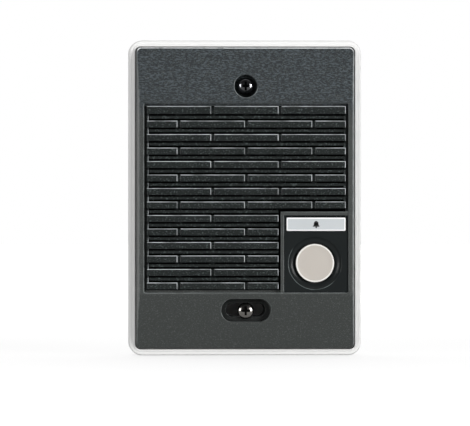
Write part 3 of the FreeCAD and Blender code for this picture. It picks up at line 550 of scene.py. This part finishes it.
def moulded_plastic(name, colour, roughness, grain_size, grain_depth, drift=0.06, fleck=0.0, dust=0.05,
                    specular=0.5, edge_highlight_tone=None, edge_size=2.0, edge_roughness=0.3, edge_mask=None,
                    border=None, border_mask=None, painted_shade_mask=None):
    """A moulded plastic: drifted colour, grained surface, uneven gloss and a little dust, with a painted
    highlight and lower roughness where it rounds towards the lamps, and painted shade where a mask gives it.
    """
    tree, surface = new_finish(name, roughness, specular=specular)
    grain = effect(tree, "grain", Size=grain_size * MM, Grit=0.35)
    tone = effect(tree, "tone", Color=colour, Amount=drift, Size=9 * MM)["Color"]
    if fleck:
        tone = mixed(tree, grain["Fleck"], tone, [min(1.0, share * (1 + fleck)) for share in colour])
    if border:
        tone = mixed(tree, border_mask(tree), tone, border)
    rough = effect(tree, "gloss", Roughness=roughness, Amount=0.02, Size=14 * MM)["Roughness"]
    # A painted highlight on the rounds that face the lamps, with a lower roughness there
    if edge_highlight_tone:
        edges = effect(tree, "edges", Patches=edge_size * MM)["Mask"]
        if edge_mask:
            edges = maths(tree, "MULTIPLY", edges, edge_mask(tree))
        tone = mixed(tree, edges, tone, edge_highlight_tone)
        rough = between(tree, edges, rough, edge_roughness)
    tone = effect(tree, "dust", Color=tone, Amount=dust)["Color"]
    # Painted shade: the mask darkens the colour, roughens the surface and dims its reflection
    if painted_shade_mask:
        unshaded = painted_shade_mask(tree)
        tone = vectors(tree, "SCALE", tone, Scale=unshaded)
        rough = between(tree, unshaded, 0.9, rough)
        tree.links.new(maths(tree, "MULTIPLY", unshaded, specular), surface.inputs["Specular IOR Level"])
    tree.links.new(tone, surface.inputs["Base Color"])
    tree.links.new(rough, surface.inputs["Roughness"])
    raised(tree, surface, grain["Height"], grain_depth * MM)


def cover_plastic(name, lower, upper, edge_highlight_tone, top_edge_highlight, roughness, edge_roughness, specular=0.25):
    """The dark cover: leather grain, deepest on the upper plate, with a painted sheen and painted glints on
    that plate, a painted highlight on its rounds, and painted shade in its wells and behind the sound slots.
    """
    tree, surface = new_finish(name, roughness, specular=specular)
    height = own_axes(tree)["Z"]
    on_upper_plate = soft_ramp(tree, height, 28 * MM, 38 * MM)
    # Along the top edge the painted highlight is near white
    on_top_edge = ramp(tree, height, 54 * MM, 55 * MM)
    off_foot_edge = ramp(tree, height, -55 * MM, -54 * MM)
    leather = effect(tree, "leather", Size=0.62 * MM)
    grain = effect(tree, "grain", Size=0.46 * MM, Grit=0.5)

    # The upper plate's own bluish tone is a painted sheen, for the light that plate catches as it slopes up
    tone = mixed(tree, on_upper_plate, lower, upper)
    tone = effect(tree, "tone", Color=tone, Amount=0.04, Size=9 * MM)["Color"]
    fleck = maths(tree, "MULTIPLY", grain["Fleck"], 0.8)
    tone = mixed(tree, fleck, tone, [share * 2.2 for share in lower])
    # Painted glints on the crests of the grain on the upper plate
    painted_glint = maths(tree, "MULTIPLY", leather["Crest"], on_upper_plate)
    tone = mixed(tree, painted_glint, tone, [share * 3.4 for share in upper])
    # A painted highlight where the front rounds towards the lamps, kept off the bottom edge, with a lower
    # roughness there
    edges = effect(tree, "edges", Patches=3 * MM, Lower=0.35)["Mask"]
    edges = crisp_line(tree, maths(tree, "MULTIPLY", edges, off_foot_edge), on_top_edge)
    tone = mixed(tree, edges, tone, mixed(tree, on_top_edge, edge_highlight_tone, top_edge_highlight))
    tone = effect(tree, "dust", Color=tone, Amount=0.03)["Color"]
    # Painted shade in the wells and behind the sound slots, darkening both colour and reflection
    shade = cover_shade(tree)
    tree.links.new(vectors(tree, "SCALE", tone, Scale=shade), surface.inputs["Base Color"])
    tree.links.new(maths(tree, "MULTIPLY", shade, specular), surface.inputs["Specular IOR Level"])

    rough = effect(tree, "gloss", Roughness=roughness, Amount=0.012, Size=16 * MM)["Roughness"]
    tree.links.new(between(tree, edges, rough, edge_roughness), surface.inputs["Roughness"])
    coarse = maths(tree, "MULTIPLY", leather["Height"], ramp(tree, on_upper_plate, 0.0, 1.0, 0.35))
    raised(tree, surface, maths(tree, "MULTIPLY_ADD", grain["Height"], 0.25, coarse), 0.22 * MM)


def worked_metal(name, colour, roughness, along, painted_shade_mask=None):
    """A bare or plated metal with fine lines along the way it was drawn, turned or brushed."""
    tree, surface = new_finish(name, roughness, metallic=1.0)
    tone = effect(tree, "tone", Color=colour, Amount=0.08, Size=2 * MM)["Color"]
    # Painted shade down in a screw's recess, where a mask is given
    if painted_shade_mask:
        tone = vectors(tree, "SCALE", tone, Scale=painted_shade_mask(tree))
    tree.links.new(tone, surface.inputs["Base Color"])
    rough = effect(tree, "gloss", Roughness=roughness, Amount=0.08, Size=1.5 * MM)["Roughness"]
    tree.links.new(rough, surface.inputs["Roughness"])
    raised(tree, surface, effect(tree, "lines", Along=along, Size=3 * MM)["Height"], 0.004 * MM)


def woven_cloth(name, colour, pitch):
    """A dull cloth, lighter on its threads than in the gaps between them."""
    tree, surface = new_finish(name, 0.95, specular=0.02)
    threads = effect(tree, "weave", Pitch=pitch * MM)["Height"]
    shade = mixed(tree, ramp(tree, threads, -1.0, 1.0), [share * 0.5 for share in colour], colour)
    tree.links.new(shade, surface.inputs["Base Color"])
    raised(tree, surface, threads, 0.08 * MM)


def striped(name, colour, gap_colour, axis, pitch, roughness, metallic=0.0):
    """Fine layers side by side along an axis: laminations, winding turns or tape edges."""
    tree, surface = new_finish(name, roughness, metallic)
    turns = maths(tree, "MULTIPLY", own_axes(tree)[axis], math.tau / (pitch * MM))
    line = soft_ramp(tree, maths(tree, "SINE", turns), -1.0, -0.4)
    tone = effect(tree, "tone", Color=colour, Amount=0.1, Size=3 * MM)["Color"]
    tree.links.new(mixed(tree, line, gap_colour, tone), surface.inputs["Base Color"])
    raised(tree, surface, line, 0.05 * MM)


def fibrous(name, colour, second, roughness, size, depth):
    """Pressed fibres in two tones: laminate board, paper and foam."""
    tree, surface = new_finish(name, roughness)
    fibres = sized_noise(tree, size * MM, 5.0, (1.0, 3.0, 0.4))
    tree.links.new(mixed(tree, fibres, colour, second), surface.inputs["Base Color"])
    raised(tree, surface, fibres, depth * MM)


# Finishes, one for each material slot of the record, and the ink

# The edge colours below are painted highlights, the button's near-white rim is a painted highlight, and the
# masks of shade are painted shade
moulded_plastic("light_plastic", (0.82, 0.82, 0.81), 0.5, 0.30, 0.010, drift=0.02, dust=0.30, specular=0.1,
                painted_shade_mask=seam_shade)
# The dark cover's second tone, for its upper plate, is a painted sheen, and its two edge colours are painted
# highlights
cover_plastic("dark_plastic", (0.0475, 0.0520, 0.0500), (0.0222, 0.0270, 0.0300), edge_highlight_tone=(0.30, 0.33, 0.33),
              top_edge_highlight=(0.90, 0.92, 0.93), roughness=0.36, edge_roughness=0.16)
moulded_plastic("louvre_plastic", (0.0122, 0.0152, 0.0148), 0.30, 0.75, 0.20, drift=0.20, fleck=3.6,
                dust=0.06, specular=0.15, edge_highlight_tone=(0.74, 0.78, 0.81), edge_size=6.0, edge_roughness=0.14,
                painted_shade_mask=louvre_shade)
moulded_plastic("panel_plastic", (0.0122, 0.0146, 0.0150), 0.26, 0.35, 0.012, drift=0.08, specular=0.15,
                edge_highlight_tone=(0.15, 0.18, 0.18), edge_roughness=0.14, edge_mask=beyond_dish, painted_shade_mask=panel_shade)
moulded_plastic("label_plate", (0.54, 0.57, 0.585), 0.34, 0.22, 0.006, drift=0.05, dust=0.0,
                border=(0.92, 0.92, 0.92), border_mask=label_border)
moulded_plastic("label_ink", (0.02, 0.02, 0.022), 0.4, 0.2, 0.002, dust=0.0)
moulded_plastic("button_plastic", (0.50, 0.462, 0.418), 0.42, 0.22, 0.006, drift=0.03, dust=0.0,
                border=(0.84, 0.82, 0.78), border_mask=button_rim, painted_shade_mask=button_shade)

# Colour, roughness, size and depth of the grain in millimetres, and the drift where it is strong
for values in (
    ("switch_case", (0.03, 0.03, 0.03), 0.45, 0.3, 0.01),
    ("switch_actuator", (0.45, 0.07, 0.04), 0.4, 0.3, 0.008),
    ("terminal_phenolic", (0.028, 0.027, 0.030), 0.40, 0.4, 0.012, 0.12),
    ("bobbin_nylon", (0.70, 0.66, 0.55), 0.45, 0.4, 0.008),
    ("capacitor_sleeve", (0.03, 0.05, 0.14), 0.3, 0.5, 0.004),
    ("film_case", (0.30, 0.06, 0.03), 0.3, 0.6, 0.012),
    ("resistor_body", (0.50, 0.36, 0.20), 0.5, 0.4, 0.01),
    ("diode_case", (0.03, 0.03, 0.03), 0.42, 0.3, 0.01),
    ("seal_rubber", (0.025, 0.025, 0.025), 0.75, 0.4, 0.02),
    ("lead_red", (0.35, 0.02, 0.015), 0.4, 0.5, 0.006),
    ("lead_black", (0.02, 0.02, 0.02), 0.4, 0.5, 0.006),
    ("magnet_ferrite", (0.05, 0.05, 0.052), 0.6, 0.5, 0.04, 0.15),
):
    moulded_plastic(*values)

# Two colours, roughness, and the size and depth of the fibres in millimetres
fibrous("gasket_foam", (0.02, 0.02, 0.02), (0.05, 0.05, 0.05), 0.95, 0.4, 0.12)
fibrous("cone_paper", (0.035, 0.033, 0.030), (0.07, 0.065, 0.06), 0.9, 0.5, 0.05)
fibrous("board_laminate", (0.32, 0.19, 0.07), (0.42, 0.27, 0.11), 0.45, 0.8, 0.01)

# Colour, the gaps' colour, the axis across the layers, their pitch in millimetres, and roughness
striped("winding_tape", (0.62, 0.42, 0.06), (0.40, 0.26, 0.03), "Y", 1.8, 0.35)
striped("coil_copper", (0.55, 0.22, 0.09), (0.15, 0.05, 0.02), "Y", 0.3, 0.3, metallic=1.0)
striped("core_steel", (0.22, 0.22, 0.23), (0.05, 0.05, 0.05), "Z", 0.5, 0.4, metallic=1.0)
# Near black: partly the cloth's own black, and partly painted shade, as it is seen through the sound slots
woven_cloth("screen_cloth", (0.005, 0.005, 0.0055), 0.45)

# Colour, roughness, and the axis that the lines run along, as they are finer along the other two
along_x, along_y, along_z = (1.0, 30.0, 30.0), (30.0, 1.0, 30.0), (30.0, 30.0, 1.0)
worked_metal("spring_steel", (0.52, 0.52, 0.50), 0.28, along_x)
worked_metal("zinc_steel", (0.58, 0.58, 0.57), 0.32, along_x)
worked_metal("tinned_brass", (0.62, 0.55, 0.40), 0.35, along_z)
worked_metal("basket_steel", (0.40, 0.40, 0.41), 0.4, along_y)
worked_metal("plate_steel", (0.50, 0.48, 0.42), 0.35, along_y)
worked_metal("blackened_steel", (0.20, 0.20, 0.21), 0.13, along_x, recess_shade(upper_head))
worked_metal("bright_steel", (0.24, 0.23, 0.215), 0.14, along_x, recess_shade(lower_head))

slot_of = {part["node"]: part["material_slot"] for part in frame["record"]["subparts"]}
for name, cad_node in frame["nodes"].items():
    for slot in cad_node.material_slots:
        slot.material = finishes[slot_of[name]]


def finished(piece, body, slot_name, finish_name=None):
    """Gives a new piece its body and the finish named after its slot of the record, unless another finish is
    named.
    """
    piece.data.materials.clear()
    piece.data.materials.append(finishes[finish_name or slot_name])
    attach(piece, body)


# New pieces, with their sizes in millimetres

def rounded_wall(low, high, radius, rounding, count=5):
    """Steps up a wall to its front, with the edge rounded."""
    steps = [(radius, low), (radius, high - rounding)]
    for i in range(1, count + 1):
        turn = math.pi / 2 * i / count
        steps.append((radius - rounding * (1 - math.cos(turn)), high - rounding * (1 - math.sin(turn))))
    return steps


# The button's face from its rim to its middle: radius, and depth below the rim
button_face = ((6.66, 0.0), (6.58, 0.03), (6.50, 0.11), (6.42, 0.13), (4.5, 0.09), (2.5, 0.05), (0.05, 0.04))


def call_button():
    """The cap with its rounded rim and slightly sunk face, on its collar, with the stem in its hollow."""
    cap, stem, hollow, chamfer, rounding = 7.1, 1.8, 5.5, 0.2, 0.3
    x, z = centre_line(*button_box)
    front, back = -button_box[0].y / MM, -button_box[1].y / MM
    collar = (button_box[1].x - button_box[0].x) / 2 / MM
    roof, seat, foot = front - 1.6, front - 2.8, front - 4.3
    steps = [(stem, back), (stem, roof), (hollow, roof), (hollow, foot), (collar - chamfer, foot),
             (collar, foot + chamfer), (collar, seat - chamfer), (collar - chamfer, seat)]
    steps += rounded_wall(seat, front, cap, rounding)
    steps += [(radius, front - depth) for radius, depth in button_face]
    button = lathed("call_button_cap", x, z, steps, 128)
    finished(button, "call_button", "button_plastic")
    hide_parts("call_button")


def coil(name, radius, wire, sides, pitch, turns, foot):
    """One unbroken wire that winds forward round Y from its foot."""
    steps_a_turn = 28
    begin()
    bpy.ops.mesh.primitive_circle_add(vertices=sides, radius=wire * MM, fill_type="NOTHING",
                                      location=(radius * MM, 0, 0), rotation=facing_front)
    piece = named(name)
    placed_in_mesh()
    with_modifier(piece, "SCREW", axis="Z", angle=math.tau, screw_offset=pitch * MM, iterations=turns,
                  steps=steps_a_turn, render_steps=steps_a_turn, use_normal_calculate=True)
    bpy.ops.object.mode_set(mode="EDIT")
    bpy.ops.mesh.select_all(action="SELECT")
    bpy.ops.mesh.remove_doubles(threshold=merge_distance)
    bpy.ops.mesh.fill_holes(sides=sides + 1)
    bpy.ops.transform.rotate(value=math.radians(-90), orient_axis="X", center_override=(0, 0, 0))
    bpy.ops.transform.translate(value=foot)
    return settled(piece)


def button_spring():
    """The coil behind the button, at the length it has at rest, riding on the housing."""
    wire, sides, turns, travel, play = 0.25, 14, 6, 1.8, 0.05
    low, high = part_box("button_spring")
    x, z = centre_line(low, high)
    length = (high.y - low.y) / MM
    radius = (high.x - low.x) / 2 / MM - wire
    pitch = (length - 2 * wire - play) / turns
    spring = coil("button_coil", radius, wire, sides, pitch, turns, (x, high.y - wire * MM, z))
    finished(spring, "housing", "spring_steel")
    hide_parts("button_spring")
    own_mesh(spring)


def recess_wings(name, x, z, front):
    """Two crossed wings that narrow towards the bottom of the recess."""
    thickness, span, height, middle_depth, narrowing = 1.04, 4.10, 2.1, 0.10, 0.62
    wings = []
    for across, along in ((thickness, span), (span, thickness)):
        begin()
        bpy.ops.mesh.primitive_cube_add(size=1, location=(x, front + middle_depth * MM, z),
                                        scale=(across * MM, height * MM, along * MM))
        wing = named(name)
        placed_in_mesh()
        select_where(wing, "FACE", lambda face: face.normal.y > 0.5)
        bpy.ops.transform.resize(value=(narrowing, 1, narrowing))
        wings.append(settled(wing))
    return wings


# The crown of a pan head: shares of its radius, and heights above its seat
pan_crown = ((1.0, 1.20), (0.985, 1.46), (0.95, 1.68), (0.88, 1.87), (0.79, 2.02), (0.68, 2.14), (0.56, 2.23),
             (0.43, 2.31), (0.30, 2.36), (0.15, 2.39))


def mounting_screw(node_name, low, high, slot_name):
    """A pan head with a crossed recess, a bare shank, and a thread on the stretch behind the wall plane."""
    head_height, edge, shank, tip_radius, taper = 2.4, 0.12, 1.45, 1.0, 0.5
    thread_radius, ridge_size, ridge_sides, pitch, turns = 1.5, 0.32, 3, 0.8, 14
    x, z = centre_line(low, high)
    front, tip = -low.y / MM, -high.y / MM
    head = (high.x - low.x) / 2 / MM
    seat = front - head_height
    steps = [(tip_radius, tip), (shank, tip + taper), (shank, seat), (head - edge, seat), (head, seat + edge)]
    steps += [(head * share, seat + rise) for share, rise in pan_crown]
    screw = lathed(node_name + "_threaded", x, z, steps, 64)
    for wing in recess_wings(node_name + "_cutter", x, z, low.y):
        cut_away(screw, wing)
    ridge = coil(node_name + "_ridge", thread_radius, ridge_size, ridge_sides, pitch, turns,
                 (x, -(tip + taper) * MM, z))
    alone(screw, ridge)
    bpy.ops.object.join()
    finished(screw, "housing", slot_name)
    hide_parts(node_name)


def label_plate():
    """The plate with rounded corners, whose border slopes up to a raised field."""
    low, high = label_box
    rise, corner, border = 0.17 * MM, 0.4 * MM, 0.30 * MM
    size = high - low
    begin()
    bpy.ops.mesh.primitive_cube_add(size=1, location=(low + high + Vector((0, rise, 0))) / 2,
                                    scale=(size.x, size.y - rise, size.z))
    plate = named("label_plate_bevelled")
    placed_in_mesh()

    def runs_back(edge):
        first, second = (plate.data.vertices[i].co for i in edge.vertices)
        return abs(first.y - second.y) > 0.1 * MM

    select_where(plate, "EDGE", runs_back)
    bpy.ops.mesh.bevel(offset=corner, segments=5, affect="EDGES")
    select_where(plate, "FACE", lambda face: face.normal.y < -0.9)
    bpy.ops.mesh.inset(thickness=border, depth=0)
    bpy.ops.transform.translate(value=(0, -rise, 0))
    settled(plate, 20)
    finished(plate, "housing", "label_plate")
    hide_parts("name_label")


def bell_sign():
    """A small bell, the common sign for a call, printed on the plate in dark ink."""
    ink_height = 0.02
    x, z = centre_line(*label_box)
    front = label_box[0].y
    parts = []
    for label, radius, rise, sides in (("dome", 0.78, 0.42, 28), ("clapper", 0.30, -1.12, 16)):
        begin()
        bpy.ops.mesh.primitive_circle_add(vertices=sides, radius=radius * MM, fill_type="NGON",
                                          location=(x, front, z + rise * MM), rotation=facing_front)
        parts.append(named("bell_" + label))
    for label, width, rise, height, flare in (
            ("skirt", 1.56, -0.12, 1.1, 1.35), ("hem", 2.5, -0.74, 0.26, 1.0)):
        begin()
        bpy.ops.mesh.primitive_plane_add(size=1, location=(x, front, z + rise * MM), rotation=facing_front)
        sheet = named("bell_" + label)
        bpy.ops.transform.resize(value=(width * MM, 1, height * MM))
        placed_in_mesh()
        select_where(sheet, "VERT", lambda point: point.co.z < z + rise * MM)
        bpy.ops.transform.resize(value=(flare, 1, 1))
        parts.append(sheet)
    alone(*parts)
    bpy.ops.object.join()
    sign = named("label_bell_sign")
    placed_in_mesh()
    bpy.ops.object.mode_set(mode="EDIT")
    bpy.ops.mesh.select_all(action="SELECT")
    bpy.ops.mesh.extrude_region_move(TRANSFORM_OT_translate={"value": (0, -ink_height * MM, 0)})
    settled(sign)
    finished(sign, "housing", "label_plate", "label_ink")


call_button()
button_spring()
mounting_screw("mounting_screw_upper", *upper_head, "blackened_steel")
mounting_screw("mounting_screw_lower", *lower_head, "bright_steel")
label_plate()
bell_sign()


# Floor, light and camera

def pale_floor():
    """A pale floor that reads as white to the camera and keeps a soft shadow."""
    begin()
    bpy.ops.mesh.primitive_plane_add(size=6.0, location=(0, 0, cad_box[0].z - 0.05 * MM))
    floor = named("floor")
    tree, surface = new_finish("floor", 0.8, specular=0.1)
    path = node(tree, "ShaderNodeLightPath").outputs
    seen = maths(tree, "MAXIMUM", path["Is Camera Ray"], path["Is Transmission Ray"])
    away = vectors(tree, "LENGTH", own_place(tree), gives="Value")
    glow = soft_ramp(tree, away, 0.15, 0.9, 0.72)
    near = soft_ramp(tree, away, 0.30, 0.10, 0.0, 0.3)
    mirrored = maths(tree, "MULTIPLY", path["Is Glossy Ray"], near)
    lift = maths(tree, "MULTIPLY_ADD", seen, glow, mirrored)
    surface.inputs["Base Color"].default_value = (0.36, 0.36, 0.36, 1)
    surface.inputs["Emission Color"].default_value = (1, 1, 1, 1)
    tree.links.new(lift, surface.inputs["Emission Strength"])
    from_below = node(tree, "ShaderNodeNewGeometry").outputs["Backfacing"]
    clear = node(tree, "ShaderNodeBsdfTransparent").outputs[0]
    shader = node(tree, "ShaderNodeMixShader", from_below, surface.outputs[0], clear).outputs[0]
    tree.links.new(shader, tree.nodes["Material Output"].inputs["Surface"])
    floor.data.materials.append(finishes["floor"])


def white_room(front_fill=0.38, rear_fill=0.85, front_glow=0.04, top_glow=1.6):
    """A world that is white to the camera, lights most from behind, and is mirrored dark at the front."""
    world = bpy.data.worlds.new("room")
    bpy.context.scene.world = world
    world.use_nodes = True
    tree = world.node_tree
    path = node(tree, "ShaderNodeLightPath").outputs
    direct = maths(tree, "MAXIMUM", path["Is Camera Ray"], path["Is Transmission Ray"])
    way = node(tree, "ShaderNodeSeparateXYZ", node(tree, "ShaderNodeTexCoord").outputs["Generated"]).outputs
    fill = soft_ramp(tree, way["Y"], 0.0, 0.7, front_fill, rear_fill)
    glow = soft_ramp(tree, way["Y"], -0.80, -0.2, front_glow)
    lean = maths(tree, "MULTIPLY_ADD", way["X"], 0.9, way["Z"])
    above = soft_ramp(tree, lean, 0.55, 1.0, 1.0, top_glow)
    behind = soft_ramp(tree, way["Y"], -0.35, 0.0)
    mirrored = maths(tree, "MULTIPLY", glow, between(tree, behind, 1.0, above))
    light = between(tree, path["Is Glossy Ray"], fill, mirrored)
    background = tree.nodes["Background"]
    background.inputs["Color"].default_value = (1, 1, 1, 1)
    tree.links.new(between(tree, direct, light, 1.0), background.inputs["Strength"])


def soft_lamp(name, place, size, power):
    """A square soft box that faces the middle of the station."""
    begin()
    bpy.ops.object.light_add(type="AREA", location=place)
    lamp = bpy.context.object
    lamp.name = name
    lamp.data.size = size
    lamp.data.energy = power
    lamp.rotation_euler = (-Vector(place)).to_track_quat("-Z", "Y").to_euler()


def studio_camera():
    """A long lens whose view puts the rim's centre where the photograph has it."""
    target = Vector((-(centre_px[0] - photo_width / 2) * pixel, -rim_depth,
                     -(photo_height / 2 - centre_px[1]) * pixel))
    azimuth, elevation = math.radians(camera_azimuth), math.radians(camera_elevation)
    back = Vector((math.sin(azimuth) * math.cos(elevation), -math.cos(azimuth) * math.cos(elevation),
                   math.sin(elevation)))
    begin()
    bpy.ops.object.camera_add(location=target + back * camera_distance)
    camera = bpy.context.object
    camera.rotation_euler = (-back).to_track_quat("-Z", "Y").to_euler()
    camera.data.sensor_width = sensor_width
    camera.data.lens = sensor_width * camera_distance / (photo_width * pixel)
    camera.data.clip_end = 20.0
    bpy.context.scene.camera = camera


pale_floor()
white_room()
soft_lamp("right_box", (0.93, -1.18, 0.08), 0.5, 19.8)
soft_lamp("left_box", (-1.006, -1.199, 0.05), 0.6, 12.8)
studio_camera()

bpy.context.scene.view_settings.view_transform = "Standard"
